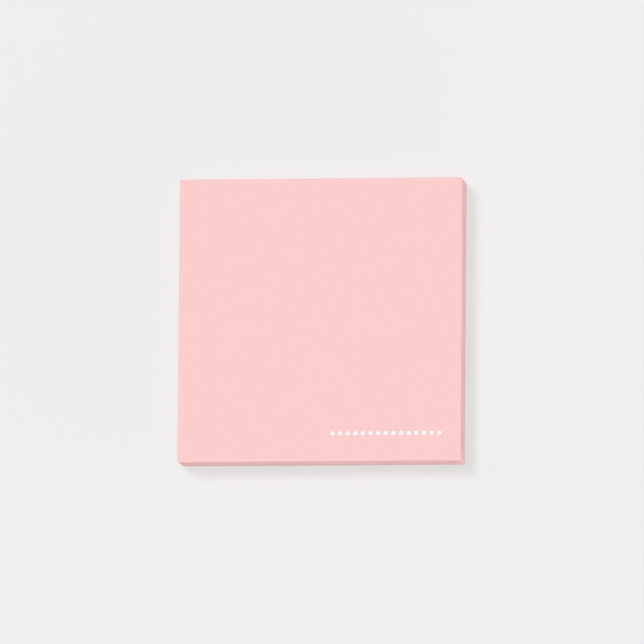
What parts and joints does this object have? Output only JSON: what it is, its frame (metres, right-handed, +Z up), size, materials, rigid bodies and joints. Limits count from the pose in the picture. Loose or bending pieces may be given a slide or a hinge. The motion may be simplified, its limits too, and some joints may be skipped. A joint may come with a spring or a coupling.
{
  "type": "sticky note pad",
  "caption": "Square pad of plain pink sticky notes, glued along one edge and stuck to a release liner.",
  "frame": {"origin": "on the surface that the pad rests on, under the middle of the pad", "axes": "+Z up out of the writing face, +X along the glued edge, +Y towards the glued edge"},
  "size_m": [0.0762, 0.0762, 0.0101],
  "materials": {
    "pink_note_paper": null,
    "liner_paper": null
  },
  "bodies": {
    "root": {"note_sheets": "pink_note_paper", "backing_sheet": "liner_paper"}
  },
  "joints": []
}
